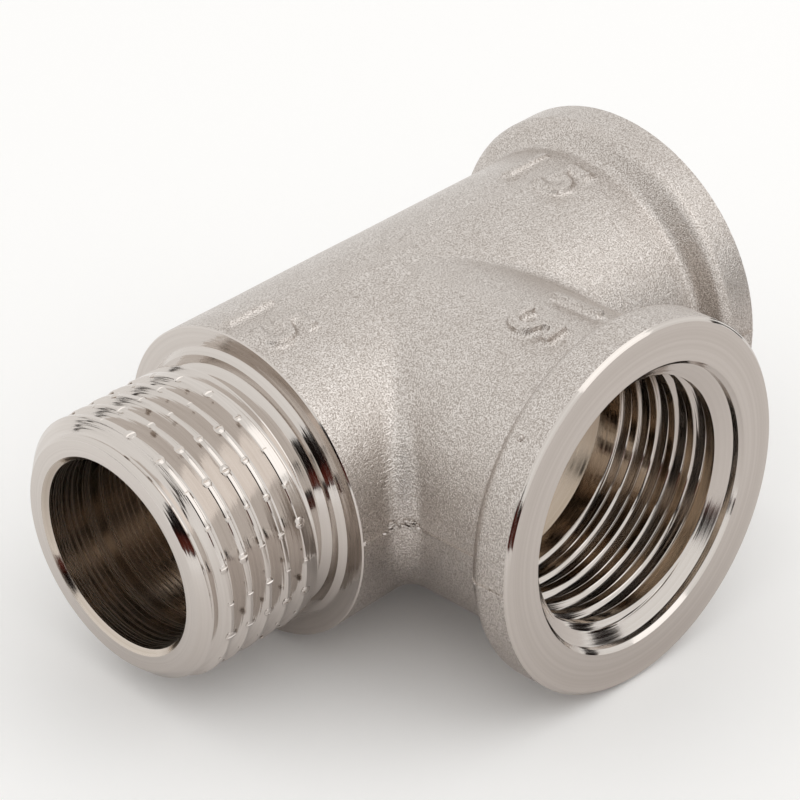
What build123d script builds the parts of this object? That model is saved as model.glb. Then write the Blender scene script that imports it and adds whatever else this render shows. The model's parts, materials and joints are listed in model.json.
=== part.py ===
from build123d import *
import math
import os

# Half-inch parallel pipe thread: outer diameter, depth of the groove and the drilled core of a socket
thread_d = 20.955
thread_depth = 1.162
socket_core_d = 19.54

# Reach of each end face from the point where the two axes cross
male_reach = 29.2
run_reach = 25.3
branch_reach = 24.7

# Cast tubes
run_tube_d = 25.1
branch_tube_d = 24.7
crotch_fillet = 2.0

# Cast bead round the mouth of each socket
bead_d = 29.2
bead_width = 3.4
bead_slope = 1.1
bead_root_fillet = 0.8
bead_crown_chamfer = 0.4
bead_face_chamfer = 0.3

# Turned male end
spigot_length = 12.7
lead_margin = 0.15
relief_width = 2.4
relief_flank_angle = 60
dish_d = 19.8
dish_rise = 0.4
shoulder_ring_d = 21.9
shoulder_chamfer = 0.12

# Drilled waterway and the edge at its open end
waterway_d = 15.0
waterway_chamfer = 0.4

# Machined sockets
socket_depth = 12.7
mouth_clearance = 0.56
mouth_depth = 0.8
mouth_chamfer = 0.3
countersink_angle = 120
drill_point_angle = 118

# Sizes that follow from those above
thread_r = thread_d / 2
thread_root_r = thread_r - thread_depth
lead_chamfer = thread_depth + lead_margin
dish_r = dish_d / 2
bead_r = bead_d / 2
waterway_r = waterway_d / 2
core_r = socket_core_d / 2
mouth_r = thread_r + mouth_clearance


def slope_length(height, angle):
    # Length along the axis of a slope that rises by height at angle degrees from the axis
    return height / math.tan(math.radians(angle))


def turned(points, rounds=(), chamfers=()):
    # Solid turned about X from an outline of (along, radius) points, with some corners rounded or chamfered
    outline = make_face(Polyline(*points, close=True))
    for corner, radius in rounds:
        outline = fillet(outline.vertices().sort_by_distance(corner)[0], radius)
    for corner, length in chamfers:
        outline = chamfer(outline.vertices().sort_by_distance(corner)[0], length)
    return revolve(outline, Axis.X)


def bead_corners(tube_r, reach):
    # Root and crown of the sloped back of a bead, and its rim at the end face
    crown_start = reach - bead_width
    return (crown_start - bead_slope, tube_r), (crown_start, bead_r), (reach, bead_r)


def run_blank():
    # Straight run: turned male end, relief groove, dished shoulder, cast tube and bead
    tube_r = run_tube_d / 2
    tip = -male_reach
    shoulder = tip + spigot_length
    thread_end = shoulder - relief_width
    relief_start = thread_end + slope_length(thread_depth, relief_flank_angle)
    dish_start = shoulder - dish_rise
    lead = (tip, thread_r)
    shoulder_rim = (shoulder, tube_r)
    root, crown, rim = bead_corners(tube_r, run_reach)
    points = [
        (tip, 0),
        lead,
        (thread_end, thread_r),
        (relief_start, thread_root_r),
        (dish_start - (dish_r - thread_root_r), thread_root_r),
        (dish_start, dish_r),
        (shoulder, shoulder_ring_d / 2),
        shoulder_rim,
        root,
        crown,
        rim,
        (run_reach, 0),
    ]
    rounds = [(root, bead_root_fillet)]
    chamfers = [
        (lead, lead_chamfer),
        (shoulder_rim, shoulder_chamfer),
        (crown, bead_crown_chamfer),
        (rim, bead_face_chamfer),
    ]
    return turned(points, rounds, chamfers)


def branch_blank():
    # Branch: cast tube and bead, from the crossing of the axes to its face
    tube_r = branch_tube_d / 2
    root, crown, rim = bead_corners(tube_r, branch_reach)
    points = [(0, 0), (0, tube_r), root, crown, rim, (branch_reach, 0)]
    rounds = [(root, bead_root_fillet)]
    chamfers = [(crown, bead_crown_chamfer), (rim, bead_face_chamfer)]
    return turned(points, rounds, chamfers)


def socket_cutter(reach):
    # Drilled and countersunk socket, with the waterway behind it as far as the crossing of the axes
    bottom = reach - socket_depth
    mouth_bottom = reach - mouth_depth
    points = [
        (0, 0),
        (0, waterway_r),
        (bottom - slope_length(core_r - waterway_r, drill_point_angle / 2), waterway_r),
        (bottom, core_r),
        (mouth_bottom - slope_length(mouth_r - core_r, countersink_angle / 2), core_r),
        (mouth_bottom, mouth_r),
        (reach - mouth_chamfer, mouth_r),
        (reach, mouth_r + mouth_chamfer),
        (reach, 0),
    ]
    return turned(points)


def male_bore_cutter():
    # Waterway through the male end, with the chamfer at its mouth
    tip = -male_reach
    points = [
        (0, 0),
        (0, waterway_r),
        (tip + waterway_chamfer, waterway_r),
        (tip, waterway_r + waterway_chamfer),
        (tip, 0),
    ]
    return turned(points)


# The branch is made along +X and then turned to point along -Y
to_branch = Rot(0, 0, -90)

# Casting, with the seam of the two tubes filled round; every other edge of it is a line or a circle
casting = run_blank() + to_branch * branch_blank()
seam = [edge for edge in casting.edges() if edge.geom_type not in (GeomType.LINE, GeomType.CIRCLE)]
casting = fillet(seam, crotch_fillet)

tee_body = casting - male_bore_cutter() - socket_cutter(run_reach) - to_branch * socket_cutter(branch_reach)

os.makedirs("parts", exist_ok=True)
export_step(tee_body, "parts/tee_body.step")
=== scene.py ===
import json
import math

import bmesh
import bpy
from mathutils import Matrix, Vector, noise
from random import Random


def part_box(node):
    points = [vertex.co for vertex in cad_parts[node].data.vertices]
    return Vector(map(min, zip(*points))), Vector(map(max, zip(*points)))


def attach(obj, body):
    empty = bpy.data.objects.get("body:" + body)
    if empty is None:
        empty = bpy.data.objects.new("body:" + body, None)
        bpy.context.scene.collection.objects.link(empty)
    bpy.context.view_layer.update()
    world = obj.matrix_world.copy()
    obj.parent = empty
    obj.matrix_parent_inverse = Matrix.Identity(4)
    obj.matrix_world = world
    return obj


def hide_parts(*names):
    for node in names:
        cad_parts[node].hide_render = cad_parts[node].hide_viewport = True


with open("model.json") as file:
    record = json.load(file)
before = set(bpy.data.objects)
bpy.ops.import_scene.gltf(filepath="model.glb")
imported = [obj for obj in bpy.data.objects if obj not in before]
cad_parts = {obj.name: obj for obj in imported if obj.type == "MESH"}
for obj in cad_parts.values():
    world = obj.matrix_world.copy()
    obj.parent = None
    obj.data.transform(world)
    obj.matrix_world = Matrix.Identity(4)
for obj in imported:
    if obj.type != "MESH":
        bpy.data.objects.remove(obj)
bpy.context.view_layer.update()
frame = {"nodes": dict(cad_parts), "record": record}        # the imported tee, its bodies and its record
print("stage: frame loaded")

mm = 0.001               # shapes are made in millimetres and turned to metres at the end
fullTurn = 2 * math.pi

# Sizes that the frame already holds
lowCorner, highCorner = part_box("tee_body")
mounts = {mount["name"]: mount for mount in frame["record"]["mounts"]}
maleTip = lowCorner.x / mm
runReach = highCorner.x / mm
branchReach = -lowCorner.y / mm
beadRadius = highCorner.z / mm
shoulder = mounts["male_shoulder"]["pos_m"][0] / mm
threadRadius = mounts["male_thread"]["dims"]["r_mm"]
coreRadius = mounts["run_socket"]["dims"]["r_mm"]
waterwayRadius = mounts["waterway"]["dims"]["r_mm"]

toBranch = Matrix.Rotation(math.radians(-90), 4, "Z")    # turns a shape on the run axis onto the branch axis
finishes = {"cast": 0, "turned": 1, "turnedBranch": 2, "bored": 3, "boredBranch": 4}


# Tools that several shapes share

def spunSolid(outline, finish="cast", steps=160):
    # An outline of (along the axis, radius) points, spun about the X axis into a closed solid
    bm = bmesh.new()
    corners = [bm.verts.new((along, radius, 0)) for along, radius in outline]
    for first, second in zip(corners, corners[1:]):
        bm.edges.new((first, second))
    bmesh.ops.spin(bm, geom=bm.verts[:] + bm.edges[:], cent=(0, 0, 0), axis=(1, 0, 0),
                   angle=fullTurn, steps=steps, use_merge=True)
    bmesh.ops.remove_doubles(bm, verts=bm.verts, dist=0.0001)
    bmesh.ops.recalc_face_normals(bm, faces=bm.faces)
    for face in bm.faces:
        face.material_index = finishes[finish]
    return bm


def roundRing(bm, along, radius, width, segments=3):
    # Rounds the ring of edges that a corner of the outline has left
    def onRing(vert):
        return abs(vert.co.x - along) < 0.001 and abs(math.hypot(vert.co.y, vert.co.z) - radius) < 0.001
    ring = [edge for edge in bm.edges if all(onRing(vert) for vert in edge.verts)]
    bmesh.ops.bevel(bm, geom=ring, offset=width, offset_type="OFFSET", segments=segments,
                    profile=0.5, affect="EDGES", material=-1)


def helicalRib(profile, start, turns, pitch, finish, stepsPerTurn=160):
    # A closed section of (along, radius) points, screwed along the X axis
    bm = bmesh.new()
    section = bm.faces.new([bm.verts.new((start + along, radius, 0)) for along, radius in profile])
    bmesh.ops.spin(bm, geom=[section], cent=(0, 0, 0), axis=(1, 0, 0), dvec=(pitch / stepsPerTurn, 0, 0),
                   angle=fullTurn * turns, steps=round(turns * stepsPerTurn), use_duplicate=False)
    bmesh.ops.recalc_face_normals(bm, faces=bm.faces)
    for face in bm.faces:
        face.material_index = finishes[finish]
    return bm


def objectFrom(bm, name, place=None):
    # Turns a bmesh into an object, with its place in its mesh
    if place is not None:
        bmesh.ops.transform(bm, matrix=place, verts=bm.verts)
    mesh = bpy.data.meshes.new(name)
    bm.to_mesh(mesh)
    bm.free()
    made = bpy.data.objects.new(name, mesh)
    bpy.context.scene.collection.objects.link(made)
    return made


def applied(target):
    # Makes the object's modifiers part of its mesh
    bpy.context.view_layer.update()
    shaped = target.evaluated_get(bpy.context.evaluated_depsgraph_get())
    mesh = bpy.data.meshes.new_from_object(shaped)
    target.modifiers.clear()
    target.data = mesh
    return target


def machined(target, tool, operation="DIFFERENCE"):
    # Cuts a tool's shape out of the target, or welds it on, and keeps each surface's own finish
    change = target.modifiers.new("machining", "BOOLEAN")
    change.operation = operation
    change.solver = "MANIFOLD"
    change.material_mode = "INDEX"
    change.object = tool
    applied(target)
    bpy.data.objects.remove(tool)
    return target


# Finishes

def linearColour(hexColour):
    # sRGB hex to the linear values that Blender's sockets take
    channels = [int(hexColour[at:at + 2], 16) / 255 for at in (1, 3, 5)]
    linear = [c / 12.92 if c <= 0.04045 else ((c + 0.055) / 1.055) ** 2.4 for c in channels]
    return (*linear, 1)


def addNode(tree, kind, settings=None, inputs=None):
    # Adds a node, with its settings, its socket values and the links into it
    node = tree.nodes.new(kind)
    for name, value in (settings or {}).items():
        setattr(node, name, value)
    for socket, value in (inputs or {}).items():
        if isinstance(value, bpy.types.NodeSocket):
            tree.links.new(value, node.inputs[socket])
        else:
            node.inputs[socket].default_value = value
    return node


def newMaterial(name):
    material = bpy.data.materials.new(name)
    material.use_nodes = True
    material.node_tree.nodes.clear()
    return material, material.node_tree


def millimetreCoordinates(tree):
    # Object coordinates in millimetres, so that a pattern's scale is one over its real size
    coordinates = addNode(tree, "ShaderNodeTexCoord")
    return addNode(tree, "ShaderNodeMapping", inputs={
        "Vector": coordinates.outputs["Object"], "Scale": (1 / mm, 1 / mm, 1 / mm)}).outputs["Vector"]


blastedNickel = {
    "light": "#EFEAE6",      # bright nickel plate over a matt blasted skin: pale grey with a little warmth
    "dark": "#D9D2CC",
    "pit": "#ABA29B",        # painted shade and a browner plate in the deepest dimples
    "grain": 0.11,           # millimetres across a blasting dimple, between one and two pixels in the render
    "grainHeight": 0.045,
    "lump": 0.5,             # millimetres across the coarser pits that the die leaves
    "lumpHeight": 0.02,
    "cloud": 2.4,            # millimetres across a patch of slightly different tone
    "roughest": 0.42,
    "smoothest": 0.24,
    "wrinkle": 0.2,          # millimetres between the drag lines that trimming leaves in the crotch
    "wrinkleHeight": 0.07,
    "wrinkleStretch": 4,     # times longer than they are wide
    "crotch": (-13.0, -13.0),    # where they lie, in millimetres, and how far they reach
    "crotchReach": 2.6,
}


def makeBlastedNickel(values):
    # Forged brass, bead-blasted and then nickel plated: satin, and it sparkles where a dimple faces the light
    material, tree = newMaterial("blasted_nickel_plate")
    place = millimetreCoordinates(tree)
    grain = addNode(tree, "ShaderNodeTexNoise", inputs={
        "Vector": place, "Scale": 1 / values["grain"], "Detail": 1.0, "Roughness": 0.5})
    lumps = addNode(tree, "ShaderNodeTexNoise", inputs={
        "Vector": place, "Scale": 1 / values["lump"], "Detail": 1.0})
    clouds = addNode(tree, "ShaderNodeTexNoise", inputs={
        "Vector": place, "Scale": 1 / values["cloud"], "Detail": 3.0})
    tone = addNode(tree, "ShaderNodeMix", {"data_type": "RGBA"}, {
        "Factor": clouds.outputs["Fac"],
        "A": linearColour(values["dark"]), "B": linearColour(values["light"])})
    # Painted shade: the lowest grain takes the pit colour, as if its dimples held shadow
    depth = addNode(tree, "ShaderNodeMapRange", inputs={
        "Value": grain.outputs["Fac"], "From Min": 0.35, "From Max": 0.65})
    colour = addNode(tree, "ShaderNodeMix", {"data_type": "RGBA"}, {
        "Factor": depth.outputs["Result"], "A": linearColour(values["pit"]), "B": tone.outputs["Result"]})
    rough = addNode(tree, "ShaderNodeMapRange", inputs={
        "Value": grain.outputs["Fac"], "From Min": 0.3, "From Max": 0.7,
        "To Min": values["roughest"], "To Max": values["smoothest"]})
    coarse = addNode(tree, "ShaderNodeBump", inputs={
        "Height": lumps.outputs["Fac"], "Strength": 1.0, "Distance": values["lumpHeight"] * mm})
    fine = addNode(tree, "ShaderNodeBump", inputs={
        "Height": grain.outputs["Fac"], "Strength": 1.0, "Distance": values["grainHeight"] * mm,
        "Normal": coarse.outputs["Normal"]})

    # Drag lines across the crotch, fading out round it
    squeeze = 1 / values["wrinkleStretch"]
    flattened = addNode(tree, "ShaderNodeMapping", inputs={"Vector": place, "Scale": (squeeze, squeeze, 1)})
    drag = addNode(tree, "ShaderNodeTexNoise", inputs={
        "Vector": flattened.outputs["Vector"], "Scale": 1 / values["wrinkle"], "Detail": 1.0})
    level = addNode(tree, "ShaderNodeVectorMath", {"operation": "MULTIPLY"}, {0: place, 1: (1, 1, 0)})
    apart = addNode(tree, "ShaderNodeVectorMath", {"operation": "DISTANCE"}, {
        0: level.outputs["Vector"], 1: (*values["crotch"], 0)})
    near = addNode(tree, "ShaderNodeMapRange", inputs={
        "Value": apart.outputs["Value"],
        "From Min": values["crotchReach"], "From Max": values["crotchReach"] / 2})
    dragged = addNode(tree, "ShaderNodeBump", inputs={
        "Height": drag.outputs["Fac"], "Strength": near.outputs["Result"],
        "Distance": values["wrinkleHeight"] * mm, "Normal": fine.outputs["Normal"]})
    shader = addNode(tree, "ShaderNodeBsdfPrincipled", inputs={
        "Base Color": colour.outputs["Result"], "Metallic": 1.0,
        "Roughness": rough.outputs["Result"], "Normal": dragged.outputs["Normal"]})
    addNode(tree, "ShaderNodeOutputMaterial", inputs={"Surface": shader.outputs["BSDF"]})
    return material


turnedNickel = {
    "name": "turned_nickel_plate", "light": "#DDD7D2", "dark": "#CDC6C0",
    "markWidth": 0.2,        # millimetres between tool marks, drawn twice as coarse as real so that they show
    "markHeight": 0.013,
    "zoneWidth": 1.3,        # millimetres over which the tool cuts clean or rough
    "roughest": 0.15, "smoothest": 0.07,
}
boredNickel = {
    "name": "bored_nickel_plate", "light": "#DCD2C8", "dark": "#C4B8AB",
    "markWidth": 0.26,       # the drill leaves coarser marks, and the plate inside is thin and browner
    "markHeight": 0.018,
    "zoneWidth": 2.0,
    "roughest": 0.3, "smoothest": 0.12,
}
boredNickelShaded = {
    "name": "tapped_nickel_plate", "light": "#C3B5A6", "dark": "#A69786",
    "markWidth": 0.26,       # lands and bore of the branch socket: the bored finish made darker and browner, painted shade of that deep hollow
    "markHeight": 0.008,
    "zoneWidth": 2.0,
    "roughest": 0.22, "smoothest": 0.1,
}


def makeTurnedNickel(values, alongBranch):
    # Lathe-turned brass under bright nickel: a mirror with fine rings about the axis that it was turned on
    material, tree = newMaterial(values["name"] + ("_branch" if alongBranch else "_run"))
    place = millimetreCoordinates(tree)
    parts = addNode(tree, "ShaderNodeSeparateXYZ", inputs={"Vector": place})
    along = parts.outputs["Y" if alongBranch else "X"]
    across = parts.outputs["X" if alongBranch else "Y"]
    offAxis = addNode(tree, "ShaderNodeCombineXYZ", inputs={"X": across, "Y": parts.outputs["Z"]})
    radius = addNode(tree, "ShaderNodeVectorMath", {"operation": "LENGTH"}, {0: offAxis.outputs["Vector"]})
    rings = addNode(tree, "ShaderNodeCombineXYZ", inputs={"X": along, "Y": radius.outputs["Value"]})
    marks = addNode(tree, "ShaderNodeTexNoise", {"noise_dimensions": "2D"}, {
        "Vector": rings.outputs["Vector"], "Scale": 1 / values["markWidth"], "Detail": 1.0, "Roughness": 0.5})
    zones = addNode(tree, "ShaderNodeTexNoise", {"noise_dimensions": "2D"}, {
        "Vector": rings.outputs["Vector"], "Scale": 1 / values["zoneWidth"], "Detail": 0.0})
    strength = addNode(tree, "ShaderNodeMapRange", inputs={
        "Value": zones.outputs["Fac"], "From Min": 0.35, "From Max": 0.65, "To Min": 0.15, "To Max": 1.0})
    tone = addNode(tree, "ShaderNodeMix", {"data_type": "RGBA"}, {
        "Factor": marks.outputs["Fac"],
        "A": linearColour(values["dark"]), "B": linearColour(values["light"])})
    rough = addNode(tree, "ShaderNodeMapRange", inputs={
        "Value": marks.outputs["Fac"], "From Min": 0.35, "From Max": 0.65,
        "To Min": values["smoothest"], "To Max": values["roughest"]})
    bump = addNode(tree, "ShaderNodeBump", inputs={
        "Height": marks.outputs["Fac"], "Strength": strength.outputs["Result"],
        "Distance": values["markHeight"] * mm})
    shader = addNode(tree, "ShaderNodeBsdfPrincipled", inputs={
        "Base Color": tone.outputs["Result"], "Metallic": 1.0,
        "Roughness": rough.outputs["Result"], "Normal": bump.outputs["Normal"]})
    addNode(tree, "ShaderNodeOutputMaterial", inputs={"Surface": shader.outputs["BSDF"]})
    return material


# The forging, as the die leaves it: solid, with extra metal where the ends are machined

forging = {
    "tubeRadius": 12.55,     # outside of the run tube, in millimetres as all that follow
    "plugRadius": 12.0,      # fills the hollows that the machining opens again
    "machiningStock": 1.2,   # metal left on each end face
    "beadInside": 2.0,       # how far the stock reaches back into a bead
    "voxel": 0.2,            # the cloth of small squares that the forging is wrapped in
    "smoothing": 3,          # passes, which round the corners as the die does
    "keepShare": 0.2,        # of the triangles, once the skin is smooth
    "waviness": 0.035,       # depth of the die's unevenness, and how far apart its hollows are
    "wavelength": 5.0,
}

# Parting line: a thin ragged fin at mid height, where the halves of the die met and the flash was sheared off
flash = {"thickness": 0.14, "height": 0.1, "tooth": 0.3, "toothHeight": 0.22}

# Small lumps of spare metal on the casting, each with its middle and its half sizes
lumps = [
    ((-16.25, -12.42, 0.05), (0.25, 0.22, 0.2)),   # where the flash meets the shoulder
    ((-10.35, -22.5, 10.2), (0.3, 0.26, 0.28)),    # nodule on the branch bead
]

# Torn edge of the flash in the crotch: crumbs scattered over its hollow
crumbs = {
    "count": 36, "seed": 4, "middle": (-14.35, -14.55), "radius": 1.94, "fromAngle": 12, "toAngle": 78,
    "low": -0.05, "high": 0.65, "size": 0.26, "thickness": 0.09,
}

# Raised figures, the nominal bore in millimetres: each with its place along its tube, and its angle round it
# from the side that faces the other tube up to the top
figures = {
    "height": 4.3, "stroke": 0.14, "relief": 0.42, "sunk": 1.2,
    "run": [("1", -13.6, 97), ("5", -13.4, 80), ("1", 16.6, 99), ("5", 16.6, 81)],
    "branch": [("1", 15.4, 105), ("5", 15.4, 84)],
}


def figureSolid(figure, along, angle, tubeRadius, onBranch):
    curve = bpy.data.curves.new("figure", "FONT")
    curve.body = figure
    curve.align_x = "CENTER"
    curve.align_y = "CENTER"
    curve.size = figures["height"] / 0.69            # the built-in font's figures are 0.69 of its size
    curve.offset = figures["stroke"]
    curve.extrude = (figures["relief"] + figures["sunk"]) / 2
    stamp = bpy.data.objects.new("figure", curve)
    bpy.context.scene.collection.objects.link(stamp)
    bpy.context.view_layer.update()
    mesh = bpy.data.meshes.new_from_object(stamp.evaluated_get(bpy.context.evaluated_depsgraph_get()))
    bpy.data.objects.remove(stamp)
    bm = bmesh.new()
    bm.from_mesh(mesh)
    bmesh.ops.remove_doubles(bm, verts=bm.verts, dist=0.001)
    outward = Vector((0, -math.cos(math.radians(angle)), math.sin(math.radians(angle))))
    upright = Vector((1, 0, 0))
    reading = upright.cross(outward)
    standing = Matrix((reading, upright, outward)).transposed().to_4x4()
    middle = tubeRadius + figures["relief"] - curve.extrude
    place = Matrix.Translation(Vector((along, 0, 0)) + outward * middle) @ standing
    if onBranch:
        place = toBranch @ place
    return objectFrom(bm, "figure", place)


def makeForging():
    bm = bmesh.new()
    bm.from_mesh(frame["nodes"]["tee_body"].data)
    bmesh.ops.remove_doubles(bm, verts=bm.verts, dist=0.000001)
    bmesh.ops.scale(bm, vec=(1 / mm,) * 3, verts=bm.verts)
    skin = objectFrom(bm, "tee_forging")
    stock = forging["machiningStock"]
    parts = []
    for reach, start, place in ((runReach, shoulder - stock, None), (branchReach, 0, toBranch)):
        plug = [(start, 0), (start, forging["plugRadius"]),
                (reach - forging["beadInside"], forging["plugRadius"]),
                (reach - forging["beadInside"], beadRadius), (reach + stock, beadRadius), (reach + stock, 0)]
        parts.append(objectFrom(spunSolid(plug), "plug", place))
    sleeve = [(shoulder - stock, 0), (shoulder - stock, forging["tubeRadius"]),
              (shoulder + stock, forging["tubeRadius"]), (shoulder + stock, 0)]
    parts.append(objectFrom(spunSolid(sleeve), "sleeve"))
    for figure, along, angle in figures["run"]:
        parts.append(figureSolid(figure, along, angle, forging["tubeRadius"], False))
    for figure, along, angle in figures["branch"]:
        parts.append(figureSolid(figure, along, angle, forging["tubeRadius"], True))
    with bpy.context.temp_override(active_object=skin, selected_editable_objects=[skin, *parts]):
        bpy.ops.object.join()
    shell = skin.modifiers.new("shell", "REMESH")
    shell.mode = "VOXEL"
    shell.voxel_size = forging["voxel"]
    soften = skin.modifiers.new("soften", "SMOOTH")
    soften.factor = 0.5
    soften.iterations = forging["smoothing"]
    applied(skin)
    print("stage: forging shell", len(skin.data.polygons))
    return skin


def weather(skin):
    # Uneven die surface, kept inside the size of the real tee
    bm = bmesh.new()
    bm.from_mesh(skin.data)
    bm.normal_update()
    for vert in bm.verts:
        vert.co += vert.normal * forging["waviness"] * (noise.noise(vert.co / forging["wavelength"]) - 1) / 2
    bm.to_mesh(skin.data)
    bm.free()
    thin = skin.modifiers.new("thin", "DECIMATE")
    thin.ratio = forging["keepShare"]
    applied(skin)
    print("stage: forging thinned", len(skin.data.polygons))


def flashFin(skin):
    # A thin slice of the forging at the parting line, grown outwards to a ragged edge
    bm = bmesh.new()
    bm.from_mesh(skin.data)
    bm.normal_update()
    for vert in bm.verts:
        tooth = flash["toothHeight"] * noise.noise(vert.co / flash["tooth"])
        vert.co += vert.normal * max(flash["height"] + tooth, 0.01)
        vert.co.x = min(max(vert.co.x, lowCorner.x / mm), highCorner.x / mm)
        vert.co.y = min(max(vert.co.y, lowCorner.y / mm), highCorner.y / mm)
    for side in (1, -1):
        bmesh.ops.bisect_plane(bm, geom=bm.verts[:] + bm.edges[:] + bm.faces[:], dist=0.00001,
                               plane_co=(0, 0, side * flash["thickness"] / 2), plane_no=(0, 0, side),
                               clear_outer=True)
    bmesh.ops.holes_fill(bm, edges=[edge for edge in bm.edges if edge.is_boundary], sides=0)
    bmesh.ops.recalc_face_normals(bm, faces=bm.faces)
    return objectFrom(bm, "flash")


def trimFlash(skin):
    spare = bmesh.new()
    for middle, halfSize in lumps:
        bmesh.ops.create_icosphere(spare, subdivisions=3, radius=1,
                                   matrix=Matrix.Translation(middle) @ Matrix.Diagonal((*halfSize, 1)))
    draw = Random(crumbs["seed"])
    for _ in range(crumbs["count"]):
        angle = draw.uniform(crumbs["fromAngle"], crumbs["toAngle"])
        place = Matrix.Translation((*crumbs["middle"], draw.uniform(crumbs["low"], crumbs["high"])))
        place = place @ Matrix.Rotation(math.radians(angle), 4, "Z")
        place = place @ Matrix.Translation((crumbs["radius"], 0, 0))
        size = crumbs["size"] * draw.uniform(0.5, 1.2)
        shape = Matrix.Diagonal((size * 0.6, size, crumbs["thickness"] * draw.uniform(0.6, 1.3), 1))
        bmesh.ops.create_icosphere(spare, subdivisions=2, radius=1, matrix=place @ shape)
    machined(skin, flashFin(skin), "UNION")
    machined(skin, objectFrom(spare, "lumps"), "UNION")
    for face in skin.data.polygons:
        face.material_index = finishes["cast"]
    print("stage: flash trimmed", len(skin.data.polygons))


# The thread that all three ends carry: pitch, depth and flanks are the standard's

thread = {
    "pitch": 1.814,
    "depth": 1.162,
    "flankAngle": 27.5,      # each flank, from square to the axis
    "crestWidth": 0.32,      # flat left on top of the male thread
    "crestRound": 0.06,
    "rootRound": 0.2,
    "rootFlat": 0.3,         # share of the root that stays flat
    "rootMiddle": (0.1, 0.3),    # middle point of each round, in shares of it along and out
    "crestMiddle": (0.4, 0.1),
    "femaleRoot": 0.12,      # radius at the bottom of the female groove, and the points that draw it
    "femaleRound": (0.35, 0.7),
    "femaleFlank": 32,       # a little wide, so that the light on each flank is as broad as in the photo
    "landBreak": 0.04,
    "runoutTurns": 0.8,      # over which the die or tap leaves the metal
    "malePhase": -0.41,      # turns by which each thread starts late
    "femalePhase": -0.45,
}

# Rows of nicks that a straight knurl has pressed into the male crests, to hold the sealing hemp
knurl = {
    "rows": 22, "firstRow": 1.5, "end": -20.0, "nickDepth": 0.07, "nickSide": 0.13,
    "padAlong": 0.36, "padAround": 0.38, "padHigh": 0.13, "padSunk": 0.085, "unevenness": 0.3, "jitter": 0.01,
    "seed": 7,
}

# The machined ends, in millimetres
spigot = {
    "leadMargin": 0.15, "grooveEnd": -18.7, "threadEnd": -18.9, "reliefStart": -18.23, "collarStart": -16.95,
    "dishRadius": 9.85, "ringInside": 10.95, "rimBreak": 0.12, "edgeRound": 0.1,
    "boreChamfer": 0.4, "rootInBody": 1.2,
}
socket = {
    "depth": 12.7, "mouthClearance": 0.56, "mouthDepth": 0.8, "mouthChamfer": 0.3,
    "countersinkAngle": 120, "drillAngle": 118, "faceChamfer": 0.3, "threadStart": 1.3, "threadLength": 11.2,
    "rootRadius": 10.58,
}


def slopeLength(height, fullAngle):
    return height / math.tan(math.radians(fullAngle / 2))


def makeSpigot():
    rootRadius = threadRadius - thread["depth"]
    lead = thread["depth"] + spigot["leadMargin"]
    insideStep = 0.3                                  # how far the cone of the relief goes on inside the body
    insideRadius = spigot["ringInside"] + insideStep
    collar = spigot["collarStart"]
    outline = [(maleTip, 0), (maleTip, threadRadius - lead), (maleTip + lead, threadRadius),
               (spigot["threadEnd"], threadRadius), (spigot["reliefStart"], rootRadius),
               (collar - (spigot["dishRadius"] - rootRadius), rootRadius), (collar, spigot["dishRadius"]),
               (collar, insideRadius - (shoulder + insideStep - collar)),
               (shoulder + insideStep, insideRadius),
               (shoulder + spigot["rootInBody"], insideRadius), (shoulder + spigot["rootInBody"], 0)]
    blank = spunSolid(outline, "turned")
    roundRing(blank, maleTip, threadRadius - lead, spigot["edgeRound"])
    blank = objectFrom(blank, "spigot")

    tangent = math.tan(math.radians(thread["flankAngle"]))
    crestRound, rootRound = thread["crestRound"], thread["rootRound"]
    halfTop = (thread["pitch"] - thread["crestWidth"]) / 2
    halfRoot = halfTop - thread["depth"] * tangent
    clear = 0.6                                       # how far the tool stands out of the cut
    along, out = thread["rootMiddle"]
    alongCrest, outCrest = thread["crestMiddle"]
    overlap = 0.01
    half = [(halfRoot * thread["rootFlat"], rootRadius),
            (halfRoot + rootRound * along, rootRadius + rootRound * out),
            (halfRoot + rootRound * tangent + overlap * 2, rootRadius + rootRound),
            (halfTop - crestRound * tangent, threadRadius - crestRound),
            (halfTop + crestRound * alongCrest, threadRadius - crestRound * outCrest),
            (halfTop + crestRound, threadRadius + overlap), (halfTop + crestRound, threadRadius + clear)]
    profile = [(-along, radius) for along, radius in reversed(half)] + half
    turnsBefore = 1.5
    start = maleTip - (turnsBefore - thread["malePhase"]) * thread["pitch"]
    beyondThread = 1.6
    turns = (spigot["threadEnd"] + beyondThread - start) / thread["pitch"]
    groove = helicalRib(profile, start, turns, thread["pitch"], "turned")
    lastFull = spigot["grooveEnd"] - thread["runoutTurns"] * thread["pitch"]
    fadeRib(groove, start, thread["pitch"], lastFull, spigot["grooveEnd"], -thread["depth"] - clear / 2)
    machined(blank, objectFrom(groove, "groove"))
    return knurled(blank, start + thread["pitch"] / 2)


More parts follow.
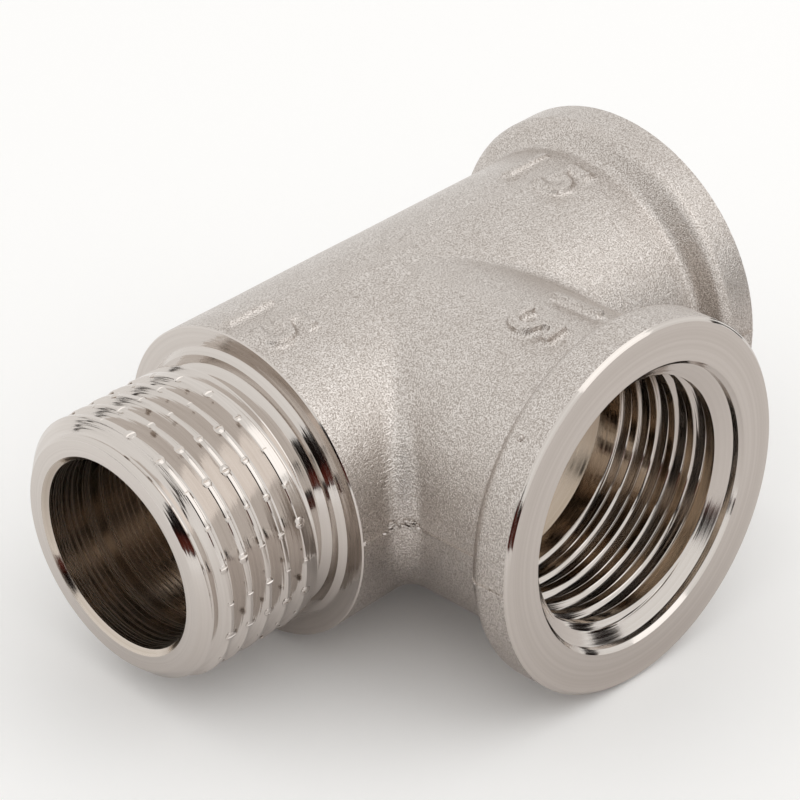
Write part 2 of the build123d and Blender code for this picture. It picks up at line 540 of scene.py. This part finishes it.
def knurled(blank, firstCrest):
    # Each nick is a shallow notch between two small pads of metal that the knurl has pushed up
    draw = Random(knurl["seed"])
    edge = 0.1                                        # no pads this close to the end of the thread
    pads = bmesh.new()
    notches = bmesh.new()
    for row in range(knurl["rows"]):
        angle = math.radians(knurl["firstRow"]) + fullTurn * row / knurl["rows"]
        crest = firstCrest + thread["pitch"] * angle / fullTurn
        while crest < spigot["threadEnd"] - edge:
            if crest > maleTip + thread["depth"] + spigot["leadMargin"] + knurl["padAlong"] / 2:
                size = 1 + knurl["unevenness"] * draw.uniform(-1, 1)
                turn = Matrix.Rotation(angle + draw.uniform(-knurl["jitter"], knurl["jitter"]), 4, "X")
                shape = Matrix.Diagonal((knurl["padAlong"] * size, knurl["padHigh"] * size,
                                         knurl["padAround"] * size, 1))
                spot = Matrix.Translation((crest, threadRadius - knurl["padSunk"], 0))
                bmesh.ops.create_icosphere(pads, subdivisions=3, radius=1, matrix=turn @ spot @ shape)
            crest += thread["pitch"]
        bar = Matrix.Translation(((maleTip + knurl["end"]) / 2,
                                  threadRadius + knurl["padHigh"] - knurl["nickDepth"], 0))
        long = Matrix.Diagonal((knurl["end"] - maleTip, knurl["nickSide"], knurl["nickSide"], 1))
        tilt = Matrix.Rotation(math.radians(45), 4, "X")
        bmesh.ops.create_cube(notches, size=1, matrix=Matrix.Rotation(angle, 4, "X") @ bar @ tilt @ long)
    for bm in (pads, notches):
        for face in bm.faces:
            face.material_index = finishes["turned"]
    machined(blank, objectFrom(pads, "pads"), "UNION")
    return machined(blank, objectFrom(notches, "notches"))


def fadeRib(bm, start, pitch, fadeFrom, fadeTo, sunk):
    # Draws the rib's last turn towards the axis as a tap leaves it, or away from it as a die does
    for vert in bm.verts:
        turned = math.atan2(vert.co.z, vert.co.y) / fullTurn
        centre = start + pitch * (turned + round((vert.co.x - start) / pitch - turned))
        fade = min(max((centre - fadeFrom) / (fadeTo - fadeFrom), 0), 1)
        radius = math.hypot(vert.co.y, vert.co.z)
        shrink = (radius - sunk * fade) / radius
        vert.co.y *= shrink
        vert.co.z *= shrink


def makeSocketTool(reach, boredFinish, cutFinish, place):
    # Drill, countersink and tap in one: what comes out of a socket, with its axis on X and its mouth at reach
    mouthRadius = threadRadius + socket["mouthClearance"]
    landRadius = coreRadius
    sunk = slopeLength(mouthRadius - landRadius, socket["countersinkAngle"])
    countersunk = reach - socket["mouthDepth"] - sunk
    bottom = reach - socket["depth"]
    point = bottom - slopeLength(landRadius - waterwayRadius, socket["drillAngle"])
    clear = 0.5
    outline = [(reach + clear, 0), (reach + clear, mouthRadius + socket["mouthChamfer"] + clear),
               (reach - socket["mouthChamfer"], mouthRadius), (reach - socket["mouthDepth"], mouthRadius),
               (countersunk, landRadius), (bottom, landRadius), (point, waterwayRadius), (point, 0)]
    drill = spunSolid(outline, boredFinish)
    for face in drill.faces:
        if face.calc_center_median().x > countersunk:
            face.material_index = finishes[cutFinish]      # countersunk last, with a fresh bright cut
    drill = objectFrom(drill, "drill")
    flank = math.radians(thread["femaleFlank"])
    rootRound = thread["femaleRoot"]
    landBreak = thread["landBreak"]
    depth = socket["rootRadius"] - landRadius
    roundHeight = rootRound * (1 - math.sin(flank))
    halfBase = rootRound * math.cos(flank) + (depth - roundHeight) * math.tan(flank)
    inward = 0.25
    bottom, side = thread["femaleRound"]
    overlap = 0.001
    half = [(rootRound * bottom, socket["rootRadius"]),
            (rootRound * side, socket["rootRadius"] - roundHeight / 2),
            (rootRound * math.cos(flank), socket["rootRadius"] - roundHeight),
            (halfBase - landBreak * math.tan(flank), landRadius + landBreak),
            (halfBase + landBreak, landRadius - overlap), (halfBase + landBreak, landRadius - inward)]
    profile = half + [(-along, radius) for along, radius in reversed(half)]
    start = reach - socket["threadLength"] + thread["femalePhase"] * thread["pitch"]
    end = reach - socket["threadStart"]
    rib = helicalRib(profile, start, (end - start) / thread["pitch"], thread["pitch"], cutFinish)
    fadeLength = thread["runoutTurns"] * thread["pitch"]
    fadeRib(rib, start, thread["pitch"], start + fadeLength, start, depth + landBreak)
    fadeRib(rib, start, thread["pitch"], end - fadeLength / 3, end, depth + landBreak)
    machined(drill, objectFrom(rib, "rib"), "UNION")
    if place is not None:
        drill.data.transform(place)
    return drill


def facingTool(faceAt, edgeRadius, chamfer, outside, finish, place=None):
    # Faces an end off square, and breaks its outer edge
    direction = 1 if outside > faceAt else -1
    clear = 0.6
    outline = [(faceAt, 0), (faceAt, edgeRadius - chamfer),
               (faceAt - direction * (chamfer + clear), edgeRadius + clear),
               (outside, edgeRadius + clear), (outside, 0)]
    return objectFrom(spunSolid(outline, finish), "facing", place)


def machineEnds(body):
    beyond = 3
    chamfer = socket["faceChamfer"]
    machined(body, facingTool(runReach, beadRadius, chamfer, runReach + beyond, "turned"))
    machined(body, facingTool(branchReach, beadRadius, chamfer, branchReach + beyond, "turnedBranch",
                              toBranch))
    machined(body, facingTool(shoulder, forging["tubeRadius"], spigot["rimBreak"], maleTip - beyond,
                              "turned"))
    machined(body, makeSpigot(), "UNION")
    machined(body, makeSocketTool(runReach, "bored", "turned", None))
    machined(body, makeSocketTool(branchReach, "boredBranch", "turnedBranch", toBranch))
    boreMouth = waterwayRadius + spigot["boreChamfer"]
    clear = 0.5
    beforeSocket = socket["depth"] + 1                # the bore ends in the drill point of each socket
    runBore = [(maleTip - clear, 0), (maleTip - clear, boreMouth + clear),
               (maleTip + spigot["boreChamfer"], waterwayRadius),
               (runReach - beforeSocket, waterwayRadius), (runReach - beforeSocket, 0)]
    machined(body, objectFrom(spunSolid(runBore, "bored"), "runBore"))
    branchBore = [(0, 0), (0, waterwayRadius), (branchReach - beforeSocket, waterwayRadius),
                  (branchReach - beforeSocket, 0)]
    machined(body, objectFrom(spunSolid(branchBore, "boredBranch"), "branchBore", toBranch))
    print("stage: ends machined", len(body.data.polygons))


def finishTee(body):
    dieEdge, latheEdge = 33, 12                             # degrees from which an edge looks sharp
    body.data.transform(Matrix.Scale(mm, 4))
    body.data.materials[0] = makeBlastedNickel(blastedNickel)    # the slot that the boolean modifier has made
    body.data.materials.append(makeTurnedNickel(turnedNickel, False))
    body.data.materials.append(makeTurnedNickel(turnedNickel, True))
    body.data.materials.append(makeTurnedNickel(boredNickel, False))
    # the branch socket and its bore take the darker copy of the bored finish: painted shade
    body.data.materials.append(makeTurnedNickel(boredNickelShaded, True))
    body.data.shade_smooth()
    body.data.set_sharp_from_angle(angle=math.radians(dieEdge))
    bm = bmesh.new()
    bm.from_mesh(body.data)
    for edge in bm.edges:                                   # the lathe leaves crisper edges than the die
        cut = all(face.material_index != finishes["cast"] for face in edge.link_faces)
        if cut and edge.calc_face_angle(0) > math.radians(latheEdge):
            edge.smooth = False
    bm.to_mesh(body.data)
    bm.free()
    even = body.modifiers.new("even", "WEIGHTED_NORMAL")    # broad faces keep clean reflections next to nicks
    even.keep_sharp = True
    body.name = "tee_forging"
    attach(body, "root")
    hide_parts("tee_body")


tee = makeForging()
weather(tee)
trimFlash(tee)
machineEnds(tee)
finishTee(tee)


# The studio: a pale floor that the tee rests on, a soft white tent, and dark glowing walls that only mirror
# surfaces see, which paint dark reflections

studio = {
    "floorColour": "#EFEBE7", "floorHalf": 1.5,
    "worldColour": "#F8F7F5", "worldStrength": 1.0,
    # painted shade on the floor in front of the tee, as if the photographer stood in the light: only mirror
    # surfaces see it
    "shadeColour": "#DEDAD8", "shadeMiddle": (0.02, -0.05), "shadeInner": 0.03, "shadeOuter": 0.14,
    "softboxes": [
        # name, direction from the tee, distance and side in metres, power in watts
        ("front_softbox", (0.35, -0.6, 0.7), 0.6, 0.45, 0.35),
    ],
}

# Painted reflections: dark glowing walls round the tent, which only mirror surfaces see, standing in for a
# table edge, the photographer, a stand and a clamp. Each is a curved wall: where it starts and ends, in
# degrees round from the +Y side, its distance and height in metres, and its colours upwards
paintedReflectionWalls = {
    "table_edge": {
        "from": -30, "to": -150, "profile": [(0.1, -0.0135), (0.4, -0.012), (0.4, 0.035)],
        "bands": [(0.0, "#4E231A"), (0.15, "#2A1512"), (0.4, "#14100F"), (0.8, "#1C1614"),
                  (1.0, "#8F8881")],
    },
    "photographer": {
        "from": -104, "to": -141, "profile": [(0.34, -0.012), (0.34, 0.17)],
        "bands": [(0.0, "#14100F"), (0.12, "#5A2A20"), (0.3, "#4A2019"), (0.42, "#120D0C"),
                  (1.0, "#1E1816")],
    },
    "stand": {
        "from": 138, "to": 96, "profile": [(0.09, -0.0135), (0.3, -0.01), (0.3, 0.022)],
        "bands": [(0.0, "#2A211E"), (0.3, "#14100F"), (0.8, "#1C1614"), (1.0, "#A49C95")],
    },
    "clamp": {
        "from": -177, "to": -184, "profile": [(0.078, -0.0135), (0.1, -0.001)],
        "bands": [(0.0, "#4E231A"), (0.3, "#14100F"), (1.0, "#1C1614")],
    },
}


def makeFloor():
    # The three points that the tee comes to rest on: the back edges of both beads, and the shoulder
    backEdge = 3.0
    rests = [Vector((runReach - backEdge, 0, -beadRadius)), Vector((0, backEdge - branchReach, -beadRadius)),
             Vector((shoulder, 0, -forging["tubeRadius"]))]
    upward = (rests[2] - rests[0]).cross(rests[1] - rests[0]).normalized()
    if upward.z < 0:
        upward = -upward
    height = min(vert.co.dot(upward) for vert in frame["nodes"]["tee_body"].data.vertices)
    bm = bmesh.new()
    bmesh.ops.create_grid(bm, x_segments=1, y_segments=1, size=studio["floorHalf"])
    turn = upward.to_track_quat("Z", "Y").to_matrix().to_4x4()
    floor = objectFrom(bm, "floor", Matrix.Translation(upward * height) @ turn)
    material, tree = newMaterial("pale_floor")
    path = addNode(tree, "ShaderNodeLightPath")
    seen = addNode(tree, "ShaderNodeMix", {"data_type": "RGBA"}, {
        "Factor": path.outputs["Is Camera Ray"],
        "A": linearColour(studio["floorColour"]), "B": (1, 1, 1, 1)})
    # Painted shade patch for glossy rays only: round its middle the floor reflects darker, while the camera
    # sees it white
    place = addNode(tree, "ShaderNodeTexCoord")
    apart = addNode(tree, "ShaderNodeVectorMath", {"operation": "DISTANCE"}, {
        0: place.outputs["Object"], 1: (*studio["shadeMiddle"], height)})
    shade = addNode(tree, "ShaderNodeMapRange", {"interpolation_type": "SMOOTHSTEP"}, {
        "Value": apart.outputs["Value"], "From Min": studio["shadeInner"], "From Max": studio["shadeOuter"]})
    mirrored = addNode(tree, "ShaderNodeMix", {"data_type": "RGBA"}, {
        "Factor": shade.outputs["Result"], "A": linearColour(studio["shadeColour"]), "B": (1, 1, 1, 1)})
    colour = addNode(tree, "ShaderNodeMix", {"data_type": "RGBA"}, {
        "Factor": path.outputs["Is Glossy Ray"],
        "A": seen.outputs["Result"], "B": mirrored.outputs["Result"]})
    shader = addNode(tree, "ShaderNodeBsdfPrincipled", inputs={
        "Base Color": colour.outputs["Result"], "Roughness": 0.9})
    addNode(tree, "ShaderNodeOutputMaterial", inputs={"Surface": shader.outputs["BSDF"]})
    floor.data.materials.append(material)


def makeWorld():
    world = bpy.data.worlds.new("studio")
    bpy.context.scene.world = world
    world.use_nodes = True
    tree = world.node_tree
    tree.nodes.clear()
    background = addNode(tree, "ShaderNodeBackground", inputs={
        "Color": linearColour(studio["worldColour"]), "Strength": studio["worldStrength"]})
    addNode(tree, "ShaderNodeOutputWorld", inputs={"Surface": background.outputs["Background"]})


def makePaintedReflectionWall(name, wall):
    bm = bmesh.new()
    corners = [bm.verts.new((0, distance, height)) for distance, height in wall["profile"]]
    for first, second in zip(corners, corners[1:]):
        bm.edges.new((first, second))
    turn = Matrix.Rotation(-math.radians(wall["from"]), 3, "Z")
    bmesh.ops.rotate(bm, cent=(0, 0, 0), verts=bm.verts, matrix=turn)
    bmesh.ops.spin(bm, geom=bm.verts[:] + bm.edges[:], cent=(0, 0, 0), axis=(0, 0, 1),
                   angle=math.radians(wall["from"] - wall["to"]), steps=48)
    screen = objectFrom(bm, name)
    material, tree = newMaterial(name)
    bottom = wall["profile"][0][1]
    top = wall["profile"][-1][1]
    place = addNode(tree, "ShaderNodeTexCoord")
    parts = addNode(tree, "ShaderNodeSeparateXYZ", inputs={"Vector": place.outputs["Object"]})
    level = addNode(tree, "ShaderNodeMapRange", inputs={
        "Value": parts.outputs["Z"], "From Min": bottom, "From Max": top})
    ramp = addNode(tree, "ShaderNodeValToRGB", inputs={"Fac": level.outputs["Result"]})
    while len(ramp.color_ramp.elements) < len(wall["bands"]):
        ramp.color_ramp.elements.new(0.5)
    for element, (position, colour) in zip(ramp.color_ramp.elements, wall["bands"]):
        element.position = position
        element.color = linearColour(colour)
    # painted reflection: the wall glows in its own colours, and is hidden from the camera, from diffuse light
    # and from shadows
    glow = addNode(tree, "ShaderNodeEmission", inputs={"Color": ramp.outputs["Color"], "Strength": 1.0})
    addNode(tree, "ShaderNodeOutputMaterial", inputs={"Surface": glow.outputs["Emission"]})
    screen.data.materials.append(material)
    screen.visible_camera = False
    screen.visible_diffuse = False
    screen.visible_shadow = False


def makeLamp(name, place, target, size, power):
    lamp = bpy.data.lights.new(name, "AREA")
    lamp.shape = "SQUARE"
    lamp.size = size
    lamp.energy = power
    holder = bpy.data.objects.new(name, lamp)
    holder.location = place
    holder.rotation_mode = "QUATERNION"
    holder.rotation_quaternion = (Vector(target) - Vector(place)).to_track_quat("-Z", "Y")
    bpy.context.scene.collection.objects.link(holder)
    return holder


camera = {
    "azimuth": -43.53, "elevation": 31.48, "roll": -3.29, "distance": 216.17,
    "target": (-0.11, 0.0, -0.514), "lens": 125.7,
}


def makeCamera():
    lens = bpy.data.cameras.new("camera")
    lens.lens = camera["lens"]
    lens.sensor_width = 36
    lens.clip_start = 0.01
    lens.clip_end = 10
    azimuth = math.radians(camera["azimuth"])
    elevation = math.radians(camera["elevation"])
    back = Vector((math.sin(azimuth) * math.cos(elevation), -math.cos(azimuth) * math.cos(elevation),
                   math.sin(elevation)))
    holder = bpy.data.objects.new("camera", lens)
    holder.rotation_mode = "QUATERNION"
    aim = (-back).to_track_quat("-Z", "Y").to_matrix().to_4x4()
    aim = aim @ Matrix.Rotation(math.radians(camera["roll"]), 4, "Z")
    holder.location = (Vector(camera["target"]) + back * camera["distance"]) * mm
    holder.rotation_quaternion = aim.to_quaternion()
    bpy.context.scene.collection.objects.link(holder)
    bpy.context.scene.camera = holder


makeFloor()
makeWorld()
for name, wall in paintedReflectionWalls.items():
    makePaintedReflectionWall(name, wall)
for name, direction, distance, size, power in studio["softboxes"]:
    makeLamp(name, Vector(direction).normalized() * distance, (0, 0, 0), size, power)
makeCamera()
bpy.context.scene.view_settings.view_transform = "Standard"
print("stage: studio set")
